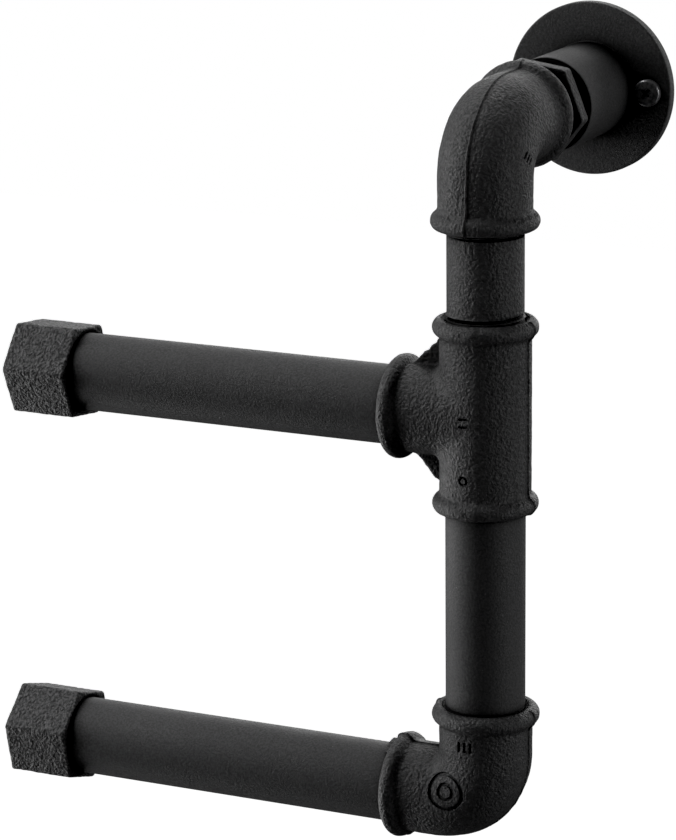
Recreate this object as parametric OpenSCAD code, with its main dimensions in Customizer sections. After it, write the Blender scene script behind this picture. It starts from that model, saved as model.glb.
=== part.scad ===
// Wall-mounted toilet paper holder built from three-quarter inch threaded pipe.
// Frame: the origin is the centre of the wall plate's back face. +Z is up, +Y points into
// the wall, and both roll arms reach out towards -X. All sizes are in millimetres.

/* [Pipe] */
// Outside diameter of the leg and arm pipes
pipe_d = 26.9; // [26.9:0.1:28]
// Outside diameter of the short nipple under the upper elbow
short_nipple_d = 25.8; // [25:0.1:26.9]
// Wall thickness of every pipe
pipe_wall = 2.65; // [2.2:0.05:2.65]
// Length of the short nipple
short_nipple_len = 60; // [50:1:100]
// Length of the long nipple
long_nipple_len = 100; // [80:1:200]
// Length of each arm
arm_len = 150; // [120:1:250]

/* [Thread engagement] */
// Depth that the short nipple is screwed into each fitting
short_grip = 15.15; // [13:0.05:16]
// Depth that the long nipple is screwed into each fitting
long_grip = 16.05; // [13:0.05:16.2]
// Depth that the upper arm is screwed in at each end
upper_arm_grip = 15.75; // [13:0.05:16.2]
// Depth that the lower arm is screwed in at each end
lower_arm_grip = 13.8; // [13:0.05:16.2]

/* [Fittings] */
// Centre-to-face length of the elbows and the tee
face_to_centre = 33; // [33:0.5:38]
// Outside diameter of the elbow bodies
elbow_d = 31.9; // [31.5:0.1:33]
// Outside diameter of the tee body
tee_d = 30.9; // [30.5:0.1:33]
// Outside diameter of the rolled bead at each elbow mouth
elbow_bead_d = 36.7; // [36:0.1:38]
// Outside diameter of the rolled bead at each tee mouth
tee_bead_d = 35.7; // [35.5:0.1:38]
// Centre-line radius of the elbow's bend
bend_r = 16.5; // [16.5:0.1:16.8]
// Thickness of the flat webs in the corners of the tee
web_t = 2.4; // [1.5:0.1:4]

/* [End caps] */
// Width across the flats of the hexagonal caps
cap_af = 31.1; // [31.1:0.1:34]
// Length of a cap
cap_len = 24.4; // [24:0.1:30]
// Turn of the upper cap's hexagon about its arm, in degrees
upper_cap_turn = 6.8; // [0:0.1:60]
// Turn of the lower cap's hexagon about its arm, in degrees
lower_cap_turn = 16.5; // [0:0.1:60]

/* [Wall plate] */
// Diameter of the round wall plate
plate_d = 60; // [60:1:90]
// Thickness of the wall plate
plate_t = 4; // [3:0.5:6]
// Outside diameter of the socket that stands on the plate
socket_d = 32.5; // [31:0.1:34]
// Length of the socket
socket_len = 37; // [34:0.5:45]
// Distance between the two screw holes
screw_spacing = 44; // [44:0.5:46]
// Diameter of each screw hole
screw_hole_d = 6; // [6:0.1:7]

/* [Hex nipple] */
// Width across the flats of the hexagon collar
collar_af = 31.5; // [30:0.1:36]
// Thickness of the collar
collar_t = 5.2; // [4:0.1:8]
// Length of bare thread on each side of the collar
collar_gap = 6.4; // [6:0.1:8]
// Depth that the nipple is screwed into the socket and the elbow
collar_grip = 14.6; // [13:0.05:16]

/* [Wall screws] */
// Diameter of the screw heads
head_d = 9.5; // [8.5:0.1:10]
// Height of the screw heads
head_h = 3; // [2.5:0.1:3.5]
// Length of a screw below its head
screw_len = 20; // [18:1:60]

/* [Hidden] */
$fn = 96;

// Parallel pipe thread, drawn as rings: 14 turns to the inch
pitch = 1.814;
thread_major_r = 13.22;
thread_depth = 1.162;
flank_w = 0.605;
crest_w = 0.302;
thread_gap = 0.1;           // radial play between the two threads of a joint
thread_start = -1.5;        // a first turn that starts here shows outside the fitting's mouth
runout = 0.5;               // chamfer from a pipe's full diameter down to its thread
end_clearance = 0.4;        // plain lead at the end of a pipe
mouth_r = 14.4;             // countersink at a fitting's mouth
socket_mouth_r = socket_d / 2 - 0.65; // the socket's is wider and leaves a thin lip
mouth_depth = 1.1;
first_inner_turn = 2;       // first turn that starts inside the countersink

// Rolled beads and waterways of the cast fittings
bead_w = 6;
bead_tube_r = 3.2;
elbow_waterway_r = 12.4;
tee_waterway_r = 12.3;
branch_waterway_r = 12.1;
port_depth = face_to_centre - bend_r;
web_reach = 26;             // how far the webs run out along the body and the branch
cap_thread_depth = 18.6;
edge_chamfer = 0.8;
plate_chamfer = 0.5;

// Wood screw thread and cross recess
neck_r = 1.8;
neck_len = plate_t + 1.5;
core_r = 1.6;
ridge_r = 2.5;
screw_pitch = 2.2;
screw_tip_len = 5;
recess_w = 1.1;
recess_len = 5.2;
recess_depth = 1.9;

// Places along the assembly, measured from the wall and down from the socket's axis
socket_face = plate_t + socket_len;
collar_back = socket_face + collar_gap;
collar_front = collar_back + collar_t;
leg_y = -(collar_front + collar_gap + face_to_centre);
short_gap = short_nipple_len - 2 * short_grip;
long_gap = long_nipple_len - 2 * long_grip;
tee_z = -(face_to_centre + short_gap + face_to_centre);
lower_z = tee_z - (face_to_centre + long_gap + face_to_centre);
upper_cap_x = -(face_to_centre + arm_len - 2 * upper_arm_grip);
lower_cap_x = -(face_to_centre + arm_len - 2 * lower_arm_grip);

cast_black = [0.09, 0.09, 0.095];
pipe_black = [0.13, 0.13, 0.135];
screw_black = [0.05, 0.05, 0.055];

// One ring of thread that starts at the given depth: a root, a flank and a crest
function thread_turn(depth, crest_r) = [
    [crest_r - thread_depth, depth],
    [crest_r - thread_depth, depth + crest_w],
    [crest_r, depth + crest_w + flank_w],
    [crest_r, depth + 2 * crest_w + flank_w]
];
// Points of several rings, one after the other, from ring "first" to ring "last"
function thread_run(first, last, crest_r) = [
    for (k = [first : last]) each thread_turn(thread_start + k * pitch, crest_r)
];
// The last whole ring that ends above the given depth
function last_turn(depth) = floor((depth - thread_start) / pitch) - 1;

// Outline of one threaded pipe end, from the full diameter to the end of the pipe.
// Depth 0 is the fitting's face, and the pipe ends at depth "grip". First turn 0 shows outside
// the face, and first turn 1 is hidden inside the mouth.
function male_end(body_r, grip, first) = concat(
    [[body_r, thread_start + first * pitch - runout]],
    thread_run(first, last_turn(grip - end_clearance), thread_major_r),
    [
        [thread_major_r - thread_depth, thread_start + (last_turn(grip - end_clearance) + 1) * pitch],
        [thread_major_r - thread_depth, grip]
    ]
);
// The same points read from the end of the pipe upwards, and counted from that end
function from_end(points, grip) = [
    for (k = [len(points) - 1 : -1 : 0]) [points[k][0], grip - points[k][1]]
];
// The same points counted down from the far end of a pipe of the given length
function to_end(points, grip, length) = [for (p = points) [p[0], length - grip + p[1]]];

// Threaded pipe that stands on the origin and reaches up +Z
module threaded_pipe(outer_d, length, grip, first = 1) {
    bore_r = pipe_d / 2 - pipe_wall;
    profile = male_end(outer_d / 2, grip, first);
    rotate_extrude()
        polygon(concat(
            [[bore_r, 0]],
            from_end(profile, grip),
            to_end(profile, grip, length),
            [[bore_r, length]]
        ));
}

// Threaded hole cut into a fitting. Depth runs up +Z from the face at z = 0.
module threaded_hole(depth, rim_r = mouth_r) {
    female_r = thread_major_r + thread_gap;
    last = last_turn(depth);
    first_root = thread_start + first_inner_turn * pitch;
    rotate_extrude()
        polygon(concat(
            [
                [0, -1], [rim_r, -1], [rim_r, 0],
                [female_r, mouth_depth], [female_r, first_root - flank_w]
            ],
            thread_run(first_inner_turn, last, female_r),
            [
                [female_r - thread_depth, thread_start + (last + 1) * pitch],
                [female_r - thread_depth, depth],
                [0, depth]
            ]
        ));
}

// Rolled bead round a mouth, flat on the face at z = 0 and on its inner side
module bead(outer_d) {
    rotate_extrude()
        intersection() {
            translate([outer_d / 2 - bead_tube_r, bead_w / 2])
                circle(r = bead_tube_r);
            translate([thread_major_r, 0])
                square([outer_d / 2, bead_w]);
        }
}

// Puts its children at a mouth that faces +Z, with depth running down
module mouth_up() {
    translate([0, 0, face_to_centre]) rotate([180, 0, 0]) children();
}
// Puts its children at a mouth that faces -Z, with depth running up
module mouth_down() {
    translate([0, 0, -face_to_centre]) children();
}
// Puts its children at a mouth that faces -X, with depth running towards +X
module mouth_left() {
    translate([-face_to_centre, 0, 0]) rotate([0, 90, 0]) children();
}

// Quarter ring between the -X mouth and the +Z mouth
module quarter_bend(radius) {
    translate([-bend_r, 0, bend_r])
        rotate([90, 0, 0])
            rotate([0, 0, -90])
                rotate_extrude(angle = 90)
                    translate([bend_r, 0])
                        circle(r = radius);
}

// Beaded elbow with one mouth facing +Z and the other facing -X
module elbow() {
    difference() {
        union() {
            quarter_bend(elbow_d / 2);
            mouth_up() cylinder(h = port_depth, d = elbow_d);
            mouth_left() cylinder(h = port_depth, d = elbow_d);
            mouth_up() bead(elbow_bead_d);
            mouth_left() bead(elbow_bead_d);
        }
        quarter_bend(elbow_waterway_r);
        mouth_up() threaded_hole(port_depth);
        mouth_left() threaded_hole(port_depth);
    }
}

// Hexagonal bar of the given length along +Z, with its corners turned off at both ends
module hex_bar(across_flats, length, chamfer) {
    corner_r = across_flats / sqrt(3);
    intersection() {
        cylinder(h = length, r = corner_r, $fn = 6);
        rotate_extrude()
            polygon([
                [0, 0],
                [corner_r - chamfer, 0],
                [corner_r + chamfer, 2 * chamfer],
                [corner_r + chamfer, length - 2 * chamfer],
                [corner_r - chamfer, length],
                [0, length]
            ]);
    }
}

// Hexagonal cap with its mouth facing +X, seated on an arm whose mouth plane is x = 0
module end_cap(turn) {
    rotate([0, -90, 0])
        difference() {
            rotate([0, 0, turn + 30])
                hex_bar(cap_af, cap_len, edge_chamfer);
            threaded_hole(cap_thread_depth);
        }
}

// Pan-head wood screw: the head's underside is at z = 0 and the tip points up +Z
module wall_screw() {
    dome_r = (pow(head_d / 2, 2) + pow(head_h - 1, 2)) / (2 * (head_h - 1));
    thread_end = screw_len - screw_tip_len;
    turns = floor((thread_end - neck_len) / screw_pitch);
    rotate([-90, 0, 0]) {
        difference() {
            rotate_extrude()
                intersection() {
                    translate([0, dome_r - head_h])
                        circle(r = dome_r);
                    translate([0, -head_h])
                        square([head_d / 2, head_h]);
                }
            for (turn = [45, 135])
                rotate([0, 0, turn])
                    translate([-recess_len / 2, -recess_w / 2, -head_h - 1])
                        cube([recess_len, recess_w, recess_depth + 1]);
        }
        cylinder(h = neck_len, r = neck_r);
        translate([0, 0, neck_len])
            rotate_extrude()
                polygon(concat(
                    [[0, 0], [core_r, 0]],
                    [
                        for (k = [0 : turns - 1], p = [
                            [core_r, 0.3],
                            [ridge_r, 1],
                            [ridge_r, 1.2],
                            [core_r, 1.9]
                        ]) [p[0], k * screw_pitch + p[1]]
                    ],
                    [[core_r, thread_end - neck_len], [0, screw_len - neck_len]]
                ));
    }
}

module wall_plate() {
    color(pipe_black)
        rotate([90, 0, 0])
            difference() {
                rotate_extrude()
                    polygon([
                        [0, 0],
                        [plate_d / 2, 0],
                        [plate_d / 2, plate_t - plate_chamfer],
                        [plate_d / 2 - plate_chamfer, plate_t],
                        [0, plate_t]
                    ]);
                for (side = [-1, 1])
                    translate([side * screw_spacing / 2, 0, -1])
                        cylinder(h = plate_t + 2, d = screw_hole_d);
            }
}

module wall_socket() {
    color(pipe_black)
        translate([0, -socket_face, 0])
            rotate([-90, 0, 0])
                difference() {
                    cylinder(h = socket_len, d = socket_d);
                    threaded_hole(socket_len + 1, socket_mouth_r);
                }
}

module wall_screw_left() {
    color(screw_black)
        translate([-screw_spacing / 2, -plate_t, 0])
            wall_screw();
}

module wall_screw_right() {
    color(screw_black)
        translate([screw_spacing / 2, -plate_t, 0])
            wall_screw();
}

module hex_nipple() {
    bare_turns = 2;
    bore_r = pipe_d / 2 - pipe_wall;
    root_r = thread_major_r - thread_depth;
    last = last_turn(collar_grip - end_clearance);
    thread_side = concat(
        [[root_r, -collar_gap]],
        thread_run(-bare_turns, last, thread_major_r),
        [[root_r, thread_start + (last + 1) * pitch], [root_r, collar_grip]]
    );
    half_t = collar_t / 2;
    side_len = collar_gap + collar_grip;
    color(cast_black)
        translate([0, -(collar_back + half_t), 0])
            rotate([90, 0, 0])
                difference() {
                    union() {
                        rotate([0, 0, -8.4])
                            translate([0, 0, -half_t])
                                hex_bar(collar_af, collar_t, edge_chamfer);
                        for (side = [0, 180])
                            rotate([side, 0, 0])
                                rotate_extrude()
                                    polygon(concat(
                                        [[0, 0], [root_r, 0]],
                                        [for (p = thread_side) [p[0], half_t + collar_gap + p[1]]],
                                        [[0, half_t + side_len]]
                                    ));
                    }
                    translate([0, 0, -half_t - side_len - 1])
                        cylinder(h = 2 * (half_t + side_len + 1), r = bore_r);
                }
}

module upper_elbow() {
    color(cast_black)
        translate([0, leg_y, 0])
            rotate([180, 0, -90])
                elbow();
}

module short_nipple() {
    color(pipe_black)
        translate([0, leg_y, tee_z + face_to_centre - short_grip])
            threaded_pipe(short_nipple_d, short_nipple_len, short_grip, 0);
}

module tee() {
    bead_inner = face_to_centre - bead_w;
    color(cast_black)
        translate([0, leg_y, tee_z])
            difference() {
                union() {
                    translate([0, 0, -face_to_centre])
                        cylinder(h = 2 * face_to_centre, d = tee_d);
                    mouth_left() cylinder(h = face_to_centre, d = tee_d - 0.2);
                    mouth_up() bead(tee_bead_d);
                    mouth_down() bead(tee_bead_d);
                    mouth_left() bead(tee_bead_d);
                    for (side = [-1, 1])
                        rotate([90, 0, 0])
                            translate([0, 0, -web_t / 2])
                                linear_extrude(height = web_t)
                                    polygon([
                                        [-14, side * 14],
                                        [-web_reach, side * 14],
                                        [-web_reach, side * 15.2],
                                        [-15.2, side * web_reach],
                                        [-14, side * web_reach]
                                    ]);
                }
                translate([0, 0, -bead_inner])
                    cylinder(h = 2 * bead_inner, r = tee_waterway_r);
                mouth_left() cylinder(h = face_to_centre, r = branch_waterway_r);
                mouth_up() threaded_hole(port_depth);
                mouth_down() threaded_hole(port_depth);
                mouth_left() threaded_hole(port_depth);
            }
}

module long_nipple() {
    color(pipe_black)
        translate([0, leg_y, lower_z + face_to_centre - long_grip])
            threaded_pipe(pipe_d, long_nipple_len, long_grip);
}

module lower_elbow() {
    color(cast_black)
        translate([0, leg_y, lower_z])
            elbow();
}

module upper_arm() {
    color(pipe_black)
        translate([upper_cap_x - upper_arm_grip, leg_y, tee_z])
            rotate([0, 90, 0])
                threaded_pipe(pipe_d, arm_len, upper_arm_grip);
}

module lower_arm() {
    color(pipe_black)
        translate([lower_cap_x - lower_arm_grip, leg_y, lower_z])
            rotate([0, 90, 0])
                threaded_pipe(pipe_d, arm_len, lower_arm_grip);
}

module upper_end_cap() {
    color(cast_black)
        translate([upper_cap_x, leg_y, tee_z])
            end_cap(upper_cap_turn);
}

module lower_end_cap() {
    color(cast_black)
        translate([lower_cap_x, leg_y, lower_z])
            end_cap(lower_cap_turn);
}

wall_plate();
wall_socket();
wall_screw_left();
wall_screw_right();
hex_nipple();
upper_elbow();
short_nipple();
tee();
long_nipple();
lower_elbow();
upper_arm();
lower_arm();
upper_end_cap();
lower_end_cap();
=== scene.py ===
import itertools
import math

import bmesh
import bpy
import numpy as np
from mathutils import Matrix, Vector


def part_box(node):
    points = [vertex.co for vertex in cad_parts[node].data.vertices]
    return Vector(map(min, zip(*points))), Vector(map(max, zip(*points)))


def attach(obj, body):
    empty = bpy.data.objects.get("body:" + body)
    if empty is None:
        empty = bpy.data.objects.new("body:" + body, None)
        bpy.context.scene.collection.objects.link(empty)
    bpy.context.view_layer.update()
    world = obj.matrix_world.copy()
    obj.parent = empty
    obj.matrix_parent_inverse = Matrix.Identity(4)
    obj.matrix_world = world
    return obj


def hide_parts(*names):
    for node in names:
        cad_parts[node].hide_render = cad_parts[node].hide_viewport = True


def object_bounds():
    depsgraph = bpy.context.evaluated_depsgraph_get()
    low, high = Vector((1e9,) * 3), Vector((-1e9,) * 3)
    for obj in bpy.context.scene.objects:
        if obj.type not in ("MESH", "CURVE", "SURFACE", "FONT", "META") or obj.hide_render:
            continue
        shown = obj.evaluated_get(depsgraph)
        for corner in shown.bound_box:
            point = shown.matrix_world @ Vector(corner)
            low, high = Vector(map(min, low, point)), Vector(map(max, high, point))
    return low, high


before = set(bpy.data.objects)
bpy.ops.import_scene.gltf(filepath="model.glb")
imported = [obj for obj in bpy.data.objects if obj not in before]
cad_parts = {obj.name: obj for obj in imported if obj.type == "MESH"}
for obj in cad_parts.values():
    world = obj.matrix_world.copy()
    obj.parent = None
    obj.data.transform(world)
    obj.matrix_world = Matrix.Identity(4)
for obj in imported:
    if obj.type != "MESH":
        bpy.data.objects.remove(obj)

cad_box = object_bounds()

# ---------------------------------------------------------------- sizes, in millimetres
# Shapes are worked out in millimetres and turned into metres when a mesh is made.
MM = 0.001

FACE = 33.0             # centre to face of the elbows and the tee
BEND = 16.5             # centre-line radius of an elbow's bend
ELBOW_R = 15.95
TEE_R = 15.45
ELBOW_BEAD_R = 18.35
TEE_BEAD_R = 17.85
BEAD_W = 6.0
WATERWAY_R = 12.4
PIPE_R = 13.45
SHORT_PIPE_R = 12.9
BORE_R = 10.8
MOUTH_R = 14.4          # countersink at a fitting's mouth
MOUTH_DEPTH = 1.1
FEMALE_R = 13.35
THREAD_R = 13.22
THREAD_DEPTH = 1.162
PITCH = 1.814
THREAD_SHOWS = 1.5      # bare thread outside a mouth, at both ends of the short nipple
THREAD_HIDDEN = -0.3    # all other threads start inside the mouth
RUNOUT = 0.5
CAP_AF = 31.1
CAP_LEN = 24.4
CAP_DEPTH = 18.6
COLLAR_AF = 31.5
COLLAR_T = 5.2
PLATE_R = 30.0
PLATE_T = 4.0
SOCKET_R = 16.25
SHORT_GRIP = 15.15      # how far each pipe is screwed into its fittings
LONG_GRIP = 16.05
UPPER_ARM_GRIP = 15.75
LOWER_ARM_GRIP = 13.8
GRID_CELL = 0.6         # size of a fitting's faces, and of those along its parting line
SEAM_CELL = 0.13
CAP_CELL = 0.42
COAT_ENDS = 0.15        # how far inside a mouth's face the coat stops
FAR = 99.0              # a distance that no surface is at


def middle(node):
    """Centre of a CAD node's box, in millimetres."""
    low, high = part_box(node)
    return np.array([(a + b) / 2 / MM for a, b in zip(low, high)])


def low_high(node):
    """Lowest and highest corner of a CAD node's box, in millimetres."""
    low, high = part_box(node)
    return np.array(low) / MM, np.array(high) / MM


LEG = middle("long_nipple")
UPPER_AXIS = middle("upper_arm")
LOWER_AXIS = middle("lower_arm")
TEE_AT = np.array([0.0, LEG[1], UPPER_AXIS[2]])
LOWER_AT = np.array([0.0, LEG[1], LOWER_AXIS[2]])
UPPER_AT = np.array([0.0, LEG[1], 0.0])


# ---------------------------------------------------------------- smooth random fields
def random_lattice(seed, size=32):
    return np.random.default_rng(seed).uniform(-1.0, 1.0, (size, size, size))


def noise(points, wavelength, seed):
    """Smooth noise from -1 to 1 at points (n, 3), one bump about every wavelength."""
    table = random_lattice(seed)
    size = table.shape[0]
    place = points / wavelength
    cell = np.floor(place).astype(int)
    t = place - cell
    t = t * t * (3 - 2 * t)
    total = np.zeros(len(points))
    for corner in itertools.product((0, 1), repeat=3):
        weight = np.ones(len(points))
        for axis, step in enumerate(corner):
            weight *= t[:, axis] if step else 1 - t[:, axis]
        i, j, k = ((cell[:, axis] + corner[axis]) % size for axis in range(3))
        total += weight * table[i, j, k]
    return total


# ---------------------------------------------------------------- solids from distance fields
def smooth_min(a, b, k):
    """The smaller of two distances, blended over a width of about k."""
    h = np.clip(0.5 + 0.5 * (b - a) / k, 0, 1)
    return b * (1 - h) + a * h - k * h * (1 - h)


def smooth_max(a, b, k):
    """The larger of two distances, blended over a width of about k."""
    return -smooth_min(-a, -b, k)


def spaced(low, high, coarse, fine=None, around=(), reach=0.9):
    """Grid lines from low to high, closer together near the given places."""
    lines = [low]
    while lines[-1] < high:
        here = lines[-1]
        near = min((abs(here - a) for a in around), default=FAR)
        step = fine if fine and near < reach else coarse
        lines.append(here + step)
    return np.array(lines)


def surface_net(xs, ys, zs, field):
    """Vertices and quads of the surface where field changes sign, negative inside.

    There is one vertex in each cell that the surface crosses, at the mean of its crossings.
    """
    inside = field < 0
    nx, ny, nz = field.shape
    corner_ids = list(itertools.product((0, 1), repeat=3))

    def corner(values, c):
        i, j, k = c
        return values[i:nx - 1 + i, j:ny - 1 + j, k:nz - 1 + k]

    count = sum(corner(inside, c).astype(np.int8) for c in corner_ids)
    cells = np.argwhere((count > 0) & (count < 8))
    number = np.full((nx - 1, ny - 1, nz - 1), -1, dtype=np.int64)
    number[tuple(cells.T)] = np.arange(len(cells))
    axes = (xs, ys, zs)
    total = np.zeros((len(cells), 3))
    hits = np.zeros(len(cells))
    for a, b in itertools.combinations(corner_ids, 2):
        if sum(abs(p - q) for p, q in zip(a, b)) != 1:
            continue
        at_a = cells + a
        at_b = cells + b
        fa = field[tuple(at_a.T)]
        fb = field[tuple(at_b.T)]
        cross = (fa < 0) != (fb < 0)
        t = np.where(cross, fa / np.where(cross, fa - fb, 1), 0)
        for axis in range(3):
            pa = axes[axis][at_a[:, axis]]
            pb = axes[axis][at_b[:, axis]]
            total[:, axis] += np.where(cross, pa + t * (pb - pa), 0)
        hits += cross
    verts = total / hits[:, None]
    quads = []
    for axis in range(3):
        u, v = [n for n in range(3) if n != axis]
        a = inside.take(range(field.shape[axis] - 1), axis=axis)
        b = inside.take(range(1, field.shape[axis]), axis=axis)
        edges = np.argwhere(a != b)
        ok = (edges[:, u] > 0) & (edges[:, v] > 0)
        ok &= (edges[:, u] < field.shape[u] - 1) & (edges[:, v] < field.shape[v] - 1)
        edges = edges[ok]
        ring = []
        for du, dv in ((-1, -1), (0, -1), (0, 0), (-1, 0)):
            cell = edges.copy()
            cell[:, u] += du
            cell[:, v] += dv
            ring.append(number[tuple(cell.T)])
        ring = np.stack(ring, axis=1)
        out = a[tuple(edges.T)] if axis != 1 else ~a[tuple(edges.T)]
        ring[~out] = ring[~out][:, ::-1]
        quads.append(ring)
    return verts, np.concatenate(quads)


def settle(verts, distance, reach, rounds=3):
    """Moves vertices onto the surface distance = 0 along its gradient, in a few rounds."""
    step = 0.04
    flattest = 0.25         # keeps a step short where the gradient fades
    for _ in range(rounds):
        value = distance(verts)
        slope = np.zeros_like(verts)
        for axis in range(3):
            shift = np.zeros(3)
            shift[axis] = step
            slope[:, axis] = (distance(verts + shift) - distance(verts - shift)) / (2 * step)
        size = np.maximum((slope ** 2).sum(axis=1), flattest)
        move = -(value / size)[:, None] * slope
        length = np.linalg.norm(move, axis=1, keepdims=True)
        verts = verts + move * np.minimum(1, reach / np.maximum(length, 1e-9))
    return verts


def solid(distance, lines, reach=0.25):
    """Vertices and quads of a closed solid given by its distance function of points."""
    xs, ys, zs = lines
    field = np.empty((len(xs), len(ys), len(zs)))
    plane = np.stack(np.meshgrid(ys, zs, indexing="ij"), axis=-1).reshape(-1, 2)
    for i, x in enumerate(xs):
        points = np.column_stack([np.full(len(plane), x), plane])
        field[i] = distance(points).reshape(len(ys), len(zs))
    verts, quads = surface_net(xs, ys, zs, field)
    return settle(verts, distance, reach), quads


def refined(verts, quads, distance, wanted, levels=2, reach=0.2):
    """Splits the faces where wanted(points) is true, and settles their vertices again."""
    bm = bmesh.new()
    made = [bm.verts.new(v) for v in verts.tolist()]
    for quad in quads.tolist():
        bm.faces.new([made[k] for k in quad])
    for _ in range(levels):
        bm.verts.ensure_lookup_table()
        points = np.array([v.co[:] for v in bm.verts])
        flagged = wanted(points)
        bm.verts.index_update()
        edges = [e for e in bm.edges if flagged[e.verts[0].index] and flagged[e.verts[1].index]]
        bmesh.ops.subdivide_edges(bm, edges=edges, cuts=1, use_grid_fill=True)
    bm.verts.index_update()
    points = np.array([v.co[:] for v in bm.verts])
    flagged = wanted(points)
    points[flagged] = settle(points[flagged], distance, reach)
    faces = [[v.index for v in f.verts] for f in bm.faces]
    bm.free()
    return points, faces


# ---------------------------------------------------------------- meshes
def new_object(name, verts, faces):
    """An object with a mesh made from millimetres."""
    mesh = bpy.data.meshes.new(name)
    rows = faces.tolist() if isinstance(faces, np.ndarray) else faces
    mesh.from_pydata((np.asarray(verts) * MM).tolist(), [], rows)
    mesh.validate()
    obj = bpy.data.objects.new(name, mesh)
    bpy.context.scene.collection.objects.link(obj)
    return obj


def piece(name, verts, faces, body, replaces, material, angle=None, inside=None):
    """One finished piece: a mesh from millimetres, its body, its slot and what it stands for.

    inside(points) is true for the mouths and threads, which get the second finish: bare iron
    painted nearly black as shade.
    """
    obj = new_object(name, verts, faces)
    obj.data.materials.append(material)
    if inside is not None:
        coat_inside(obj, inside)
    shade(obj, angle)
    own(obj, body, replaces)
    return obj


def coat_inside(obj, inside):
    """Gives the faces whose centres are inside(points, in millimetres) the second finish: bare
    iron painted nearly black as shade.
    """
    obj.data.materials.append(bare_iron_shade)
    centres = np.empty(len(obj.data.polygons) * 3)
    obj.data.polygons.foreach_get("center", centres)
    chosen = inside(centres.reshape(-1, 3) / MM)
    obj.data.polygons.foreach_set("material_index", chosen.astype(np.int32))


def own(obj, body, replaces):
    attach(obj, body)
    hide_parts(replaces)


def shade(obj, angle=None):
    """Smooth shading, with hard edges only where faces meet at more than angle degrees."""
    mesh = obj.data
    mesh.polygons.foreach_set("use_smooth", [True] * len(mesh.polygons))
    if angle is not None:
        mesh.set_sharp_from_angle(angle=math.radians(angle))
    mesh.update()


def lathe(rings, segments=96, radius_at=None):
    """Closed solid of revolution about Z. rings are (radius, height) round a closed outline.

    radius_at(angle, radius, height) may change a ring's radius as it goes round.
    """
    angles = np.linspace(0, 2 * math.pi, segments, endpoint=False)
    verts = []
    for r, z in rings:
        radius = np.full(segments, r) if radius_at is None else radius_at(angles, r, z)
        verts.append(np.column_stack([radius * np.cos(angles), radius * np.sin(angles),
                                      np.full(segments, z)]))
    verts = np.concatenate(verts)
    faces = []
    count = len(rings)
    for i in range(count):
        a = i * segments
        b = (i + 1) % count * segments
        k = np.arange(segments)
        n = (k + 1) % segments
        faces.append(np.column_stack([a + k, a + n, b + n, b + k]))
    return verts, np.concatenate(faces)


def placed(verts, rows, at):
    """Turns local x, y, z into the three given directions and moves the result."""
    return verts @ np.array(rows, dtype=float) + np.asarray(at)


ALONG_X = [[0, 0, 1], [0, 1, 0], [-1, 0, 0]]       # local +Z points towards -X
UP = [[1, 0, 0], [0, 1, 0], [0, 0, 1]]
TO_ROOM = [[1, 0, 0], [0, 0, 1], [0, -1, 0]]       # local +Z points towards -Y
TO_WALL = [[1, 0, 0], [0, 0, -1], [0, 1, 0]]       # local +Z points towards +Y


# ---------------------------------------------------------------- threads
def thread_wave(turn):
    """Depth of a pipe thread's groove, from 0 at the crest to 1 at the root, by turn."""
    half_crest = 0.09
    flank = 0.32
    t = turn - np.floor(turn)
    return np.clip((np.abs(t - 0.5) - half_crest) / flank, 0, 1)


def threaded_outline(body_r, length, cut, step=0.17):
    """Rings of a pipe with a thread of length cut at both ends: up the outside, down the bore."""
    chamfer = 0.8
    nose = 0.4
    rings = [(THREAD_R - THREAD_DEPTH - nose, 0.0)]
    rings += [(THREAD_R, z) for z in np.arange(0, cut, step) if z > 0.3]
    rings += [(THREAD_R, cut), (body_r, cut + RUNOUT), (body_r, cut + RUNOUT + chamfer)]
    middle_z = np.linspace(cut + RUNOUT + 2 * chamfer, length / 2, 8)
    rings += [(body_r, z) for z in middle_z]
    rings += [(r, length - z) for r, z in reversed(rings[:-1])]
    rings += [(BORE_R, length), (BORE_R, length / 2), (BORE_R, 0.0)]
    return rings


def thread_radius(length, cut, lead_in=1.2):
    """radius_at for a pipe: cuts a helix into the rings that lie in the two threaded ends."""
    slope = 0.9

    def radius_at(angles, r, z):
        from_end = min(z, length - z)
        if r < THREAD_R - 0.01 or from_end > cut + 0.01 or r > THREAD_R + 0.01:
            return np.full(len(angles), r)
        turn = z / PITCH - angles / (2 * math.pi)
        depth = THREAD_DEPTH * thread_wave(turn)
        nose = max(0.0, lead_in - from_end) * slope
        return np.minimum(THREAD_R - depth, THREAD_R - nose)

    return radius_at


def pipe(name, body_r, grip, shows, rows, material):
    """Pipe in its CAD node's place: its thread reaches grip inside a mouth and shows outside."""
    low, high = low_high(name)
    at = middle(name)
    length = float(max(high - low))
    cut = grip + shows
    verts, faces = lathe(threaded_outline(body_r, length, cut), 96, thread_radius(length, cut))
    verts[:, 2] -= length / 2
    axis = np.array(rows[2], dtype=float)

    # Threads inside a mouth get the near-black finish: painted shade.
    def threads(points):
        return np.abs((points - at) @ axis) > length / 2 - grip

    return piece(name + "_steel", placed(verts, rows, at), faces, "root", name,
                 material, 40, threads)


# ---------------------------------------------------------------- cast fittings
def mouth_cut(across, depth):
    """Distance to the empty space inside a mouth: across is the radius, depth from the face."""
    radius = np.where(depth < MOUTH_DEPTH, MOUTH_R - (MOUTH_R - FEMALE_R) * depth / MOUTH_DEPTH,
                      FEMALE_R)
    return across - radius


def bead_ring(across, depth, outer):
    """Distance to the half-round roll at a mouth."""
    tube = 3.2
    return np.hypot(across - (outer - tube), depth - BEAD_W / 2) - tube


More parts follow.
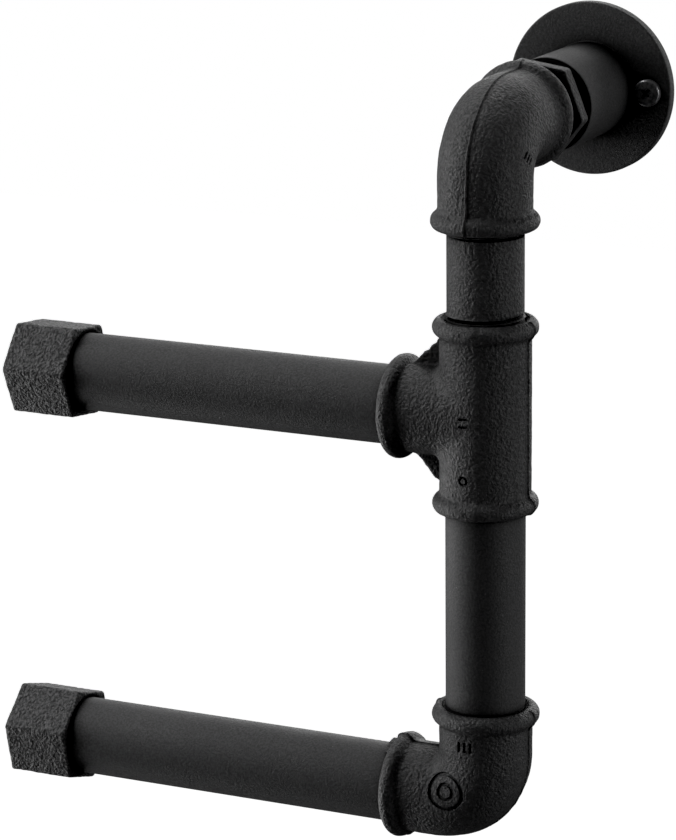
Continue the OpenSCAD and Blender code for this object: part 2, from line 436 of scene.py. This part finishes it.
def parting(side, along, seed):
    """Height of the mould's parting line: a ragged ridge and a small step at side = 0."""
    flat = np.zeros(len(along))
    wander = noise(np.column_stack([along, flat, flat]), 7.0, seed)
    ragged = noise(np.column_stack([along, flat + 9, flat]), 1.6, seed)
    ridge_high, ridge_wide, step_high, step_wide = 0.48, 0.24, 0.10, 0.25
    offset = side - 0.16 * wander - 0.10 * ragged
    ridge = (ridge_high + 0.16 * ragged) * np.exp(-(offset / ridge_wide) ** 2)
    return ridge + step_high * np.tanh(offset / step_wide) - step_high


def cast_skin(points, seed, rough=1.0):
    """Uneven skin of a sand casting: slow waves and coarse grain, at or just under the surface."""
    return (0.08 * noise(points, 9.0, seed) + 0.05 * rough * noise(points, 2.4, seed + 1)
            + 0.045 * rough * noise(points, 1.25, seed + 2) - 0.08)


def elbow_distance(seed, mark, flash):
    """Distance function of a beaded elbow with mouths facing +Z and -X."""
    fillet = 1.4
    rim = 0.7
    arc_scale = 20      # turns the angle round the bend into a length for the parting line

    def distance(p):
        x, y, z = p.T
        up = z >= BEND
        left = x <= -BEND
        bend = np.hypot(x + BEND, z - BEND) - BEND
        across_up = np.hypot(x, y)
        across_left = np.hypot(z, y)
        across = np.hypot(bend, y)
        across = np.where(up & ~left, across_up, across)
        across = np.where(left & ~up, across_left, across)
        across = np.where(up & left, np.minimum(across_up, across_left), across)
        along = np.where(up, z, np.where(left, x, np.arctan2(z - BEND, x + BEND) * arc_scale))
        skin = parting(y, along, seed) + cast_skin(p, seed + 3) + groove(mark(p))
        body = across - ELBOW_R
        for radius, depth in ((across_up, FACE - z), (across_left, FACE + x)):
            body = smooth_min(body, bead_ring(radius, depth, ELBOW_BEAD_R), fillet)
        body = body - skin
        body = smooth_max(body, z - FACE, rim)
        body = smooth_max(body, -FACE - x, rim)
        if flash:
            body = smooth_min(body, flash_distance(p), 0.4)
        hollow = across - WATERWAY_R
        hollow = np.minimum(hollow, np.where(up, mouth_cut(across_up, FACE - z), FAR))
        hollow = np.minimum(hollow, np.where(left, mouth_cut(across_left, FACE + x), FAR))
        return smooth_max(body, -hollow, 0.4)

    return distance


def tee_distance(seed, mark):
    """Distance function of a beaded tee: the run along Z and the branch towards -X."""
    web_half = 1.2
    web_line = 41.2     # where the webs' free edges run
    web_root = 12
    web_tip = 28.5
    fillet = 1.3
    rim = 0.7
    seam_from = 4       # the parting line shows on the side away from the branch

    def distance(p):
        x, y, z = p.T
        run = np.hypot(x, y)
        branch = np.hypot(y, z)
        body = run - TEE_R
        arm = smooth_max(branch - TEE_R + 0.1, x, 0.5)
        body = smooth_min(body, arm, np.clip(-0.3 * x, 0.2, 3.0))
        high = np.abs(z)
        ragged = 0.45 * noise(np.column_stack([x + high, z, z * 0]), 2.6, seed + 7)
        web = np.maximum(np.abs(y) - web_half, (high - x - web_line) / math.sqrt(2) + ragged)
        web = np.maximum(web, np.maximum(x + web_root, web_root - high))
        web = np.maximum(web, np.maximum(-web_tip - x, high - web_tip))
        body = smooth_min(body, web, 1.1)
        for radius, depth in ((run, FACE - z), (run, FACE + z), (branch, FACE + x)):
            body = smooth_min(body, bead_ring(radius, depth, TEE_BEAD_R), fillet)
        side = np.where(x > seam_from, y, FAR)
        body = body - parting(side, z, seed) - cast_skin(p, seed + 3) - groove(mark(p))
        body = smooth_max(body, high - FACE, rim)
        body = smooth_max(body, -FACE - x, rim)
        hollow = np.minimum(run, np.where(x < 0, branch, FAR)) - WATERWAY_R + 0.1
        deep = FACE - BEND
        hollow = np.minimum(hollow, np.where(high > deep, mouth_cut(run, FACE - high), FAR))
        hollow = np.minimum(hollow, np.where(x < -deep, mouth_cut(branch, FACE + x), FAR))
        return smooth_max(body, -hollow, 0.4)

    return distance


def groove(edge, depth=0.6, soft=0.25):
    """A cast-in line, cut where edge is under 0."""
    return -depth * np.clip(0.5 - edge / soft, 0, 1)


def bar_edge(a, b, centre_a, centre_b, half_a, half_b):
    """Edge of a straight bar."""
    return np.maximum(np.abs(a - centre_a) - half_a, np.abs(b - centre_b) - half_b)


def tally(a, b, centre_a, centre_b, count, gap=1.9, half_length=1.6, half_width=0.34):
    """Edge of a few short parallel bars, as a plain foundry tally."""
    edge = FAR
    for k in range(count):
        shift = (k - (count - 1) / 2) * gap
        edge = np.minimum(edge, bar_edge(a, b, centre_a + shift, centre_b, half_width,
                                         half_length))
    return edge


def ring_edge(a, b, centre_a, centre_b, radius, half_width=0.33):
    """Edge of a plain circle."""
    return np.abs(np.hypot(a - centre_a, b - centre_b) - radius) - half_width


FRONT = -8.0            # marks lie on the room side of this plane


def lower_mark(p):
    """Edge of two plain rings, and a three-bar tally above them, on the room side."""
    x, y, z = p.T
    centre = (-8.0, 5.2)
    edge = np.minimum(ring_edge(x, z, *centre, 6.0, 0.5), ring_edge(x, z, *centre, 2.6, 0.5))
    edge = np.minimum(edge, tally(x, z, -0.8, 22.0, 3, 2.1, 1.7, 0.42))
    return np.where(y < FRONT, edge, FAR)


def upper_mark(p):
    """Edge of a three-bar tally on the side away from the arms."""
    x, y, z = p.T
    along = (x - z) / math.sqrt(2)
    out = (x + z) / math.sqrt(2)
    return np.where(y < FRONT, tally(along, out, -5.5, 6.4, 3, 1.7, 1.3, 0.3), FAR)


def tee_mark(p):
    """Edge of a tally and a small ring on the room side."""
    x, y, z = p.T
    edge = np.minimum(tally(z, x, 0.2, -1.3, 2, 2.6), ring_edge(x, z, -1.3, -19.5, 1.3))
    return np.where(y < FRONT, edge, FAR)


def flash_distance(p):
    """Distance to a thin fin of flash left on the rim of a mouth that faces -X."""
    ring_r = 16.2
    proud = 0.3
    half_thick = 0.75
    first, last = math.radians(60), math.radians(84)
    x, y, z = p.T
    nearest = np.clip(np.arctan2(z, -y), first, last)
    return np.sqrt((x + FACE + proud) ** 2 + (y + ring_r * np.cos(nearest)) ** 2
                   + (z - ring_r * np.sin(nearest)) ** 2) - half_thick


def fitting_lines(low, high, cell, seam_cell):
    """Grid lines for a fitting: finer across the mould's parting plane, y = 0."""
    (x0, y0, z0), (x1, y1, z1) = low, high
    return (spaced(x0, x1, cell), spaced(y0, y1, cell, seam_cell, (0.0,)), spaced(z0, z1, cell))


def casting(name, distance, mark, low, rows, at, material):
    """A fitting's solid on its grid, with finer faces where its marks are."""
    high_corner = (20.0, 20.0, 34.0)
    near_mark = 0.7
    inner_end = 11          # the mouths' near-black finish, painted shade, reaches in to here
    lines = fitting_lines(low, high_corner, GRID_CELL, SEAM_CELL)
    verts, quads = solid(distance, lines)
    verts, faces = refined(verts, quads, distance, lambda p: mark(p) < near_mark)
    turn = np.array(rows, dtype=float)

    # The mouths get the near-black finish: painted shade.
    def mouths(points):
        x, y, z = ((points - at) @ turn.T).T
        high = np.abs(z) if low[2] < -FACE else z       # a tee has a mouth below as well
        up = (np.hypot(x, y) < MOUTH_R) & (high > inner_end) & (high < FACE - COAT_ENDS)
        left = (np.hypot(y, z) < MOUTH_R) & (x < -inner_end) & (x > COAT_ENDS - FACE)
        return up | left

    return piece(name + "_casting", placed(verts, rows, at), faces, "root", name,
                 material, None, mouths)


def elbow(name, rows, at, seed, mark, material, flash=False):
    return casting(name, elbow_distance(seed, mark, flash), mark, (-34.6, -20.0, -20.0), rows, at,
                   material)


def tee(name, at, seed, mark, material):
    return casting(name, tee_distance(seed, mark), mark, (-34.0, -20.0, -34.0), UP, at, material)


# ---------------------------------------------------------------- hexagons
def hexagon(x, y, across_flats, turn, round_off):
    """Distance to a hexagon in the XY plane, with a corner at turn degrees."""
    edge = None
    for k in range(6):
        angle = math.radians(turn + 30 + 60 * k)
        flat = x * math.cos(angle) + y * math.sin(angle) - across_flats / 2
        edge = flat if edge is None else smooth_max(edge, flat, round_off)
    return edge


def cap_distance(turn, seed):
    """Distance function of an end cap: mouth at z = 0, closed end at z = CAP_LEN."""

    def distance(p):
        x, y, z = p.T
        across = np.hypot(x, y)
        skin = cast_skin(p, seed, 1.0) + 0.05 * noise(p, 1.1, seed + 5)
        side = hexagon(x, y, CAP_AF, turn, 0.8)
        body = smooth_max(side, z - CAP_LEN, 1.1)
        body = smooth_max(body, -z, 0.8) - skin
        hollow = smooth_max(mouth_cut(across, z), z - CAP_DEPTH, 1.0)
        return smooth_max(body, -hollow, 0.4)

    return distance


def end_cap(name, turn, at, body, seed, material):
    edge = CAP_AF / math.sqrt(3) + 1
    floor_t = 2
    span = spaced(-edge, edge, CAP_CELL)
    depth = spaced(-1, CAP_LEN + 1, CAP_CELL)
    verts, faces = solid(cap_distance(turn, seed), (span, span, depth))

    # The cap's mouth gets the near-black finish: painted shade.
    def mouth(points):
        x, y, z = (points - at).T
        return (np.hypot(y, z) < MOUTH_R) & (x < -COAT_ENDS) & (x > floor_t - CAP_LEN)

    return piece(name + "_casting", placed(verts, ALONG_X, at), faces, body, name,
                 material, None, mouth)


# ---------------------------------------------------------------- materials
class Nodes:
    """A material's node tree, with short calls for the nodes that the finishes use."""

    def __init__(self, name):
        self.material = bpy.data.materials.new(name)
        self.material.use_nodes = True
        self.tree = self.material.node_tree
        self.shader = self.tree.nodes["Principled BSDF"]
        coords = self.tree.nodes.new("ShaderNodeTexCoord")
        scale = self.tree.nodes.new("ShaderNodeMapping")
        scale.inputs["Scale"].default_value = (1 / MM, 1 / MM, 1 / MM)
        self.tree.links.new(coords.outputs["Object"], scale.inputs["Vector"])
        self.place = scale.outputs["Vector"]

    def link(self, a, b):
        self.tree.links.new(a, b)

    def noise(self, size, detail=2.0, rough=0.5, distortion=0.0):
        """Noise with features about size millimetres across."""
        node = self.tree.nodes.new("ShaderNodeTexNoise")
        node.inputs["Scale"].default_value = 1 / size
        node.inputs["Detail"].default_value = detail
        node.inputs["Roughness"].default_value = rough
        node.inputs["Distortion"].default_value = distortion
        self.link(self.place, node.inputs["Vector"])
        return node.outputs["Fac"]

    def cells(self, size):
        node = self.tree.nodes.new("ShaderNodeTexVoronoi")
        node.inputs["Scale"].default_value = 1 / size
        self.link(self.place, node.inputs["Vector"])
        return node.outputs["Distance"]

    def remap(self, value, low, high, to_low, to_high):
        node = self.tree.nodes.new("ShaderNodeMapRange")
        for socket, number in (("From Min", low), ("From Max", high),
                               ("To Min", to_low), ("To Max", to_high)):
            node.inputs[socket].default_value = number
        self.link(value, node.inputs["Value"])
        return node.outputs["Result"]

    def mix(self, factor, first, second):
        node = self.tree.nodes.new("ShaderNodeMix")
        node.data_type = "RGBA"
        for socket, value in ((6, first), (7, second)):
            if isinstance(value, tuple):
                node.inputs[socket].default_value = (*value, 1)
            else:
                self.link(value, node.inputs[socket])
        self.link(factor, node.inputs["Factor"])
        return node.outputs[2]

    def times(self, first, second):
        node = self.tree.nodes.new("ShaderNodeMath")
        node.operation = "MULTIPLY"
        self.link(first, node.inputs[0])
        self.link(second, node.inputs[1])
        return node.outputs["Value"]

    def paint_crease_shade(self, colour, shine, reach_mm, shut=0.5, clear=0.92):
        """Paints shade into a coat: darker and duller in creases and gaps narrower than reach_mm,
        as painted shade.

        It is black where the openness to the air is under shut, and untouched above clear.
        """
        node = self.tree.nodes.new("ShaderNodeAmbientOcclusion")
        node.samples = 8
        node.inputs["Distance"].default_value = reach_mm * MM
        unshaded = self.remap(node.outputs["AO"], shut, clear, 0.0, 1.0)
        self.link(self.mix(unshaded, (0.001, 0.001, 0.001), colour), self.shader.inputs["Base Color"])
        self.link(self.times(unshaded, shine), self.shader.inputs["Specular IOR Level"])

    def bump(self, height, distance_mm, before=None):
        """Bump of the given height in millimetres, on top of an earlier one."""
        node = self.tree.nodes.new("ShaderNodeBump")
        node.inputs["Distance"].default_value = distance_mm * MM
        self.link(height, node.inputs["Height"])
        if before is not None:
            self.link(before, node.inputs["Normal"])
        return node.outputs["Normal"]


def cast_coat(name="cast_black_coat", grain=1.0, pale=1.0, mottle=0.35):
    """Black powder coat over sand-cast iron: pebbled grain, small pits, paler tops of bumps."""
    n = Nodes(name)
    pebbles = n.noise(0.95, 2.0, 0.5, 0.25)
    clumps = n.noise(2.8, 2.0, 0.5)
    fine = n.noise(0.3, 1.0, 0.5)
    pits = n.remap(n.cells(2.2), 0.0, 0.26, 0.0, 1.0)
    grey, spread, blue = 0.0265, 0.0195 * mottle, 1.03
    low = (grey - spread) * pale
    high = (grey + spread) * pale
    shade_of = n.mix(n.remap(pebbles, 0.38, 0.62, 0.0, 1.0), (low, low, low * blue),
                     (high, high, high * blue))
    dusty = n.mix(n.remap(fine, 0.35, 0.8, 0.0, 0.5), shade_of, (0.05, 0.05, 0.0515))
    shine = n.remap(pebbles, 0.38, 0.62, 0.46 - 0.24 * mottle, 0.46 + 0.22 * mottle)
    # Painted shade: colour and shine darkened in creases and gaps within 11 mm.
    n.paint_crease_shade(dusty, shine, 11.0)
    n.link(n.remap(pebbles, 0.3, 0.75, 0.66, 0.54), n.shader.inputs["Roughness"])
    normal = n.bump(clumps, 0.25 * grain)
    normal = n.bump(pebbles, 0.74 * grain, normal)
    normal = n.bump(pits, 0.08 * grain, normal)
    normal = n.bump(fine, 0.05 * grain, normal)
    n.link(normal, n.shader.inputs["Normal"])
    return n.material


def pipe_coat(name="pipe_black_coat", reach=11.0, shut=0.5, clear=0.92):
    """Fine matt black powder coat on drawn steel, with a sandy grain and a few pale specks."""
    n = Nodes(name)
    peel = n.noise(0.7, 2.0, 0.55)
    fine = n.noise(0.2, 1.0, 0.5)
    cloud = n.noise(14.0, 3.0, 0.5)
    sandy = n.mix(n.remap(peel, 0.36, 0.64, 0.0, 1.0), (0.017, 0.017, 0.0175),
                  (0.036, 0.036, 0.037))
    base = n.mix(n.remap(cloud, 0.4, 0.8, 0.0, 0.5), sandy, (0.036, 0.036, 0.037))
    speck = n.remap(n.cells(3.6), 0.03, 0.07, 1.0, 0.0)
    dusty = n.mix(speck, base, (0.10, 0.10, 0.105))
    # Painted shade: colour and shine darkened in creases and gaps within reach.
    n.paint_crease_shade(dusty, n.remap(peel, 0.36, 0.64, 0.44, 0.56), reach, shut, clear)
    n.link(n.remap(cloud, 0.3, 0.7, 0.64, 0.70), n.shader.inputs["Roughness"])
    normal = n.bump(peel, 0.18)
    normal = n.bump(fine, 0.03, normal)
    n.link(normal, n.shader.inputs["Normal"])
    return n.material


def make_bare_iron_shade():
    """Bare iron inside the mouths and on the threads, where no coat reaches, darkened nearly to
    black as painted shade in these gaps.
    """
    n = Nodes("bare_iron_painted_shade")
    stain = n.noise(1.8, 3.0, 0.55)
    n.link(n.mix(n.remap(stain, 0.35, 0.7, 0.0, 1.0), (0.003, 0.003, 0.003),
                 (0.008, 0.0078, 0.0075)), n.shader.inputs["Base Color"])
    n.link(n.remap(stain, 0.3, 0.7, 0.62, 0.8), n.shader.inputs["Roughness"])
    n.link(n.bump(n.noise(0.5, 2.0, 0.5), 0.05), n.shader.inputs["Normal"])
    n.shader.inputs["Specular IOR Level"].default_value = 0.12
    return n.material


def screw_coat():
    """Satin black zinc, a little brighter where the head has been handled."""
    n = Nodes("screw_black_coat")
    wear = n.noise(1.4, 3.0, 0.6)
    n.link(n.mix(n.remap(wear, 0.4, 0.7, 0.0, 1.0), (0.09, 0.09, 0.093),
                 (0.30, 0.30, 0.305)), n.shader.inputs["Base Color"])
    n.link(n.remap(wear, 0.3, 0.7, 0.42, 0.3), n.shader.inputs["Roughness"])
    n.link(n.bump(n.noise(0.3, 2.0, 0.5), 0.02), n.shader.inputs["Normal"])
    n.shader.inputs["Metallic"].default_value = 0.7
    return n.material


# ---------------------------------------------------------------- wall plate, socket, screws
def boolean(obj, other, operation):
    """Joins or cuts obj with other, and removes other."""
    mod = obj.modifiers.new("cut", "BOOLEAN")
    mod.operation = operation
    mod.solver = "MANIFOLD"
    mod.object = other
    depsgraph = bpy.context.evaluated_depsgraph_get()
    result = bpy.data.meshes.new_from_object(obj.evaluated_get(depsgraph))
    old = obj.data
    obj.modifiers.remove(mod)
    obj.data = result
    result.name = old.name
    bpy.data.meshes.remove(old)
    used = other.data
    bpy.data.objects.remove(other)
    bpy.data.meshes.remove(used)


def filled_lathe(rings, segments=96, radius_at=None):
    """Solid of revolution with no bore: rings run from one flat end to the other."""
    verts, faces = lathe(rings, segments, radius_at)
    faces = faces[:-segments]
    count = len(rings)
    caps = [list(range(segments))[::-1], [(count - 1) * segments + k for k in range(segments)]]
    return verts, faces.tolist() + caps


def quarter_round(r, z, size, start, steps=5):
    """Rings of a rounded edge: size is its radius, and start its first angle in degrees."""
    angles = [math.radians(start + 90 * k / steps) for k in range(steps + 1)]
    return [(r + size * math.cos(a), z + size * math.sin(a)) for a in angles]


def wall_plate(material):
    edge = 0.6
    hole_r = 3.0
    segments = 192
    rings = [(PLATE_R - 1.5, 0.0), (PLATE_R - 0.2, 0.0), (PLATE_R, 0.25)]
    rings += quarter_round(PLATE_R - edge, PLATE_T - edge, edge, 0)
    rings += [(PLATE_R - 1.2, PLATE_T), (PLATE_R - 1.5, PLATE_T)]
    verts, faces = filled_lathe(rings, segments)
    obj = new_object("wall_plate_steel", placed(verts, TO_ROOM, (0, 0, 0)), faces)
    for screw in ("wall_screw_left", "wall_screw_right"):
        x = middle(screw)[0]
        hole = filled_lathe([(hole_r, -1.0), (hole_r, PLATE_T - 0.3),
                             (hole_r + 0.6, PLATE_T + 0.4)], 48)
        cutter = new_object("cutter", placed(hole[0], TO_ROOM, (x, 0, 0)), hole[1])
        boolean(obj, cutter, "DIFFERENCE")
    obj.data.materials.clear()
    obj.data.materials.append(material)
    shade(obj, 35)
    own(obj, "root", "wall_plate")


def wall_socket(material):
    """Socket with a small flare where it meets the plate, and a thin lip at its mouth."""
    low, high = low_high("wall_socket")
    length = high[1] - low[1]
    edge = 0.5
    lip = 0.7
    rings = [(FEMALE_R, 0.0), (SOCKET_R - 0.1, 0.0), (SOCKET_R + 0.45, 0.0),
             (SOCKET_R + 0.12, 0.16), (SOCKET_R, 0.5)]
    rings += [(SOCKET_R, z) for z in np.linspace(2, length - 2, 7)]
    rings += quarter_round(SOCKET_R - edge, length - edge, edge, 0)
    rings += [(SOCKET_R - 0.6, length), (SOCKET_R - 0.65, length - 0.1), (FEMALE_R, length - 1.2)]
    verts, faces = lathe(rings, 128)

    # The socket's bore gets the near-black finish: painted shade in its mouth.
    def bore(points):
        inside = np.hypot(points[:, 0], points[:, 2]) < SOCKET_R - lip
        return inside & (points[:, 1] < -PLATE_T - 2)

    piece("wall_socket_steel", placed(verts, TO_ROOM, (0, high[1], 0)), faces, "root",
          "wall_socket", material, 40, bore)


def wall_screw(name, spin, material):
    """Pan-head screw with a cross recess: local z = 0 under the head, the tip towards +Z."""
    low, high = low_high(name)
    head_h = 3.0
    head_r = (high[0] - low[0]) / 2
    length = high[1] - low[1] - head_h
    tip = 5.0
    neck = PLATE_T + 1.5
    pitch = 2.2
    core = 1.6
    ridge = 2.5

    def thread(angles, r, z):
        if z <= neck or r > core + 0.01:
            return np.full(len(angles), r)
        turn = z / pitch - angles / (2 * math.pi)
        t = np.abs(turn - np.floor(turn) - 0.5)
        taper = min(1.0, (z - neck) / 1.5, (length - z) / tip)
        body = core * min(1.0, (length - z) / (tip * 0.8) + 0.04)
        return body + (ridge - core) * taper * np.clip(1 - t / 0.17, 0, 1)

    crown = 0.35
    roll = 1.0
    flat_r = head_r - roll
    dome = [(r, -head_h + crown * (r / flat_r) ** 2) for r in np.linspace(0.3, flat_r, 7)]
    dome += [(flat_r + roll * math.sin(a), -head_h + crown + roll * (1 - math.cos(a)))
             for a in np.linspace(0.35, math.pi / 2, 7)]
    rings = dome + [(head_r, -0.5), (head_r - 0.1, -0.1), (head_r - 0.4, 0.0), (1.8, 0.0),
                    (1.8, neck)]
    rings += [(core, z) for z in np.arange(neck + 0.12, length - 0.05, 0.18)]
    verts, faces = filled_lathe(rings, 48, thread)
    verts[:, 0] = -verts[:, 0]      # keeps the faces outward and the thread right-handed
    faces = [list(f)[::-1] for f in faces]
    obj = new_object(name + "_steel", verts, faces)
    for turn in (0, 90):
        angle = math.radians(spin + turn)
        wide, deep = 0.62, 1.9
        slot = []
        for z, reach, half in ((-head_h - 1, 2.8, wide), (-head_h + deep, 0.9, wide * 0.75)):
            for sx, sy in ((-1, -1), (1, -1), (1, 1), (-1, 1)):
                x = sx * reach
                y = sy * half
                slot.append((x * math.cos(angle) - y * math.sin(angle),
                             x * math.sin(angle) + y * math.cos(angle), z))
        faces_of = [(3, 2, 1, 0), (4, 5, 6, 7), (0, 1, 5, 4), (1, 2, 6, 5), (2, 3, 7, 6),
                    (3, 0, 4, 7)]
        boolean(obj, new_object("cutter", slot, faces_of), "DIFFERENCE")
    at = middle(name)
    rows = Matrix(TO_WALL).transposed().to_4x4()
    obj.data.transform(Matrix.Translation(Vector((at[0], -PLATE_T, at[2])) * MM) @ rows)
    obj.data.materials.clear()
    obj.data.materials.append(material)
    shade(obj, 35)
    own(obj, "root", name)


def hex_nipple(material):
    """Collar between two threaded ends, on the line from the socket to the elbow."""
    low, high = low_high("hex_nipple")
    length = high[1] - low[1]
    centre = (low[1] + high[1]) / 2
    half = COLLAR_T / 2
    turn = -8.4
    overlap_r = 11.4        # the collar's own hole, inside the threaded part that it joins
    nose_r = 11.7

    def radius_at(angles, r, z):
        from_end = min(z, length - z)
        if abs(r - THREAD_R) > 0.01:
            return np.full(len(angles), r)
        depth = THREAD_DEPTH * thread_wave(z / PITCH - angles / (2 * math.pi))
        return np.minimum(THREAD_R - depth, THREAD_R - max(0.0, 1.2 - from_end) * 0.9)

    side = length / 2 - half
    step = 0.17
    rings = [(nose_r, 0.0)] + [(THREAD_R, z) for z in np.arange(0.3, side - 1.0, step)]
    rings += [(THREAD_R - THREAD_DEPTH, side - 0.8), (THREAD_R - THREAD_DEPTH, length / 2)]
    rings += [(r, length - z) for r, z in reversed(rings[:-1])]
    rings += [(BORE_R, length), (BORE_R, 0.0)]
    verts, faces = lathe(rings, 96, radius_at)
    verts[:, 2] -= length / 2
    obj = piece("hex_nipple_casting", placed(verts, TO_ROOM, (0, centre, 0)), faces, "root",
                "hex_nipple", material, 40)

    def distance(p):
        x, y, z = p.T
        body = smooth_max(hexagon(x, y, COLLAR_AF, turn, 0.4), np.abs(z) - half, 0.5)
        body = smooth_max(body, np.hypot(x, y) - COLLAR_AF / math.sqrt(3) + 0.2, 0.4)
        return smooth_max(body - cast_skin(p, 71, 1.2), overlap_r - np.hypot(x, y), 0.3)

    edge = COLLAR_AF / math.sqrt(3) + 1
    span = spaced(-edge, edge, 0.45)
    verts, faces = solid(distance, (span, span, spaced(-half - 1, half + 1, 0.35)))
    boolean(obj, new_object("collar", placed(verts, TO_ROOM, (0, centre, 0)), faces), "UNION")
    obj.data.materials.clear()
    obj.data.materials.append(material)
    # The threads each side of the collar get the near-black finish: bare thread with painted
    # shade.
    coat_inside(obj, lambda points: np.hypot(points[:, 0], points[:, 2]) < THREAD_R + 0.1)
    shade(obj, 40)


# ---------------------------------------------------------------- light, floor and camera
def stage_floor(low_z):
    """Pale floor well below the object. It only shows: it throws no light back on the object."""
    mat = bpy.data.materials.new("pale_floor")
    mat.use_nodes = True
    shader = mat.node_tree.nodes["Principled BSDF"]
    shader.inputs["Base Color"].default_value = (0.9, 0.9, 0.9, 1)
    shader.inputs["Roughness"].default_value = 0.9
    shader.inputs["Emission Color"].default_value = (1, 1, 1, 1)
    shader.inputs["Emission Strength"].default_value = 1.0
    mesh = bpy.data.meshes.new("floor")
    half = 8.0
    z = low_z - 1.6
    mesh.from_pydata([(-half, -half, z), (half, -half, z), (half, half, z), (-half, half, z)],
                     [], [(0, 1, 2, 3)])
    floor = bpy.data.objects.new("floor", mesh)
    bpy.context.scene.collection.objects.link(floor)
    mesh.materials.append(mat)
    floor.visible_diffuse = False
    floor.visible_glossy = False


def soft_light(name, azimuth, elevation, power, distance=2.0, size=1.0):
    """Square soft box aimed at the object. Azimuth 0 is straight in front, 90 to the right."""
    aim = Vector((-0.07, -0.07, -0.12))
    a = math.radians(azimuth)
    e = math.radians(elevation)
    away = Vector((math.sin(a) * math.cos(e), -math.cos(a) * math.cos(e), math.sin(e)))
    data = bpy.data.lights.new(name, "AREA")
    data.shape = "SQUARE"
    data.size = size
    data.energy = power
    obj = bpy.data.objects.new(name, data)
    obj.location = aim + away * distance
    obj.rotation_euler = (-away).to_track_quat("-Z", "Y").to_euler()
    obj.visible_camera = False
    bpy.context.scene.collection.objects.link(obj)


def studio():
    """White surroundings for the camera, which throw almost no light on the object."""
    world = bpy.data.worlds.new("studio")
    bpy.context.scene.world = world
    world.use_nodes = True
    tree = world.node_tree
    shown = tree.nodes["Background"]
    shown.inputs["Color"].default_value = (1, 1, 1, 1)
    shown.inputs["Strength"].default_value = 1.0
    fill = tree.nodes.new("ShaderNodeBackground")
    fill.inputs["Color"].default_value = (1, 1, 1, 1)
    fill.inputs["Strength"].default_value = 0.01
    path = tree.nodes.new("ShaderNodeLightPath")
    mix = tree.nodes.new("ShaderNodeMixShader")
    tree.links.new(path.outputs["Is Camera Ray"], mix.inputs["Fac"])
    tree.links.new(fill.outputs["Background"], mix.inputs[1])
    tree.links.new(shown.outputs["Background"], mix.inputs[2])
    tree.links.new(mix.outputs["Shader"], tree.nodes["World Output"].inputs["Surface"])


def lights():
    """Strong soft boxes on the left, weaker ones behind and on the right, none in front."""
    soft_light("left_low", -90, -30, 23.6)
    soft_light("left_side", -75, 10, 20.9)
    soft_light("left_front_high", -75, 50, 19.6)
    soft_light("left_front", -50, 10, 5.1)
    soft_light("back_high", -165, 50, 16.4)
    soft_light("back_left", -165, 10, 13.1)
    soft_light("back_right", 165, 10, 10.6)
    soft_light("right_side", 100, 10, 13.3)
    soft_light("right_low", 90, -30, 2.5)


def camera():
    """Looks from the right of the wall's normal and a little above, from 1.3 m away."""
    azimuth = math.radians(26.2)
    elevation = math.radians(14.3)
    roll = math.radians(-0.55)
    distance = 1.285
    aim = Vector((-0.0463, -0.1087, -0.0985))
    back = Vector((math.sin(azimuth) * math.cos(elevation),
                   -math.cos(azimuth) * math.cos(elevation), math.sin(elevation)))
    right = Vector((math.cos(azimuth), math.sin(azimuth), 0))
    up = back.cross(right)
    turned_right = right * math.cos(roll) + up * math.sin(roll)
    turned_up = up * math.cos(roll) - right * math.sin(roll)
    data = bpy.data.cameras.new("camera")
    data.lens = 165.35
    data.sensor_width = 36
    data.clip_end = 30
    obj = bpy.data.objects.new("camera", data)
    place = Matrix((turned_right, turned_up, back)).transposed().to_4x4()
    place.translation = aim + back * distance
    obj.matrix_world = place
    bpy.context.scene.collection.objects.link(obj)
    bpy.context.scene.camera = obj


def film():
    """Plain tone curve, with the deepest shadows printed black."""
    view = bpy.context.scene.view_settings
    black = 0.0016
    view.view_transform = "Standard"
    view.use_curve_mapping = True
    view.curve_mapping.black_level = (black, black, black)
    view.curve_mapping.update()


# ---------------------------------------------------------------- the scene
cast = cast_coat()
rough_cast = cast_coat("cap_black_coat", 1.2, 1.3, 0.75)
smooth = pipe_coat()
# The plate's and socket's coats paint shade over 34 mm: the plate darker round the socket, the
# socket darker towards the plate.
plate_black = pipe_coat("plate_black_coat", 34.0, 0.52, 0.84)
socket_black = pipe_coat("socket_black_coat", 34.0, 0.62, 1.0)
zinc = screw_coat()
# Near-black bare iron: painted shade in the mouths, bores and threads.
bare_iron_shade = make_bare_iron_shade()

camera()
studio()
lights()
stage_floor(cad_box[0][2])

wall_plate(plate_black)
wall_socket(socket_black)
wall_screw("wall_screw_left", 20, zinc)
wall_screw("wall_screw_right", 40, zinc)
hex_nipple(cast)

# The upper elbow's mouths face the wall and the floor; the lower one's face up and left.
elbow("upper_elbow", [[0, -1, 0], [-1, 0, 0], [0, 0, -1]], UPPER_AT, 11, upper_mark, cast)
elbow("lower_elbow", UP, LOWER_AT, 31, lower_mark, cast, flash=True)
tee("tee", TEE_AT, 51, tee_mark, cast)

pipe("short_nipple", SHORT_PIPE_R, SHORT_GRIP, THREAD_SHOWS, UP, cast)
pipe("long_nipple", PIPE_R, LONG_GRIP, THREAD_HIDDEN, UP, smooth)
pipe("upper_arm", PIPE_R, UPPER_ARM_GRIP, THREAD_HIDDEN, ALONG_X, smooth)
pipe("lower_arm", PIPE_R, LOWER_ARM_GRIP, THREAD_HIDDEN, ALONG_X, smooth)

for cap, turn, body, seed in (("upper_end_cap", 36.8, "upper_cap", 81),
                              ("lower_end_cap", 46.5, "lower_cap", 91)):
    corner_low, corner_high = low_high(cap)
    seat = (corner_high[0], LEG[1], middle("upper_arm" if "upper" in cap else "lower_arm")[2])
    end_cap(cap, turn, seat, body, seed, rough_cast)

film()
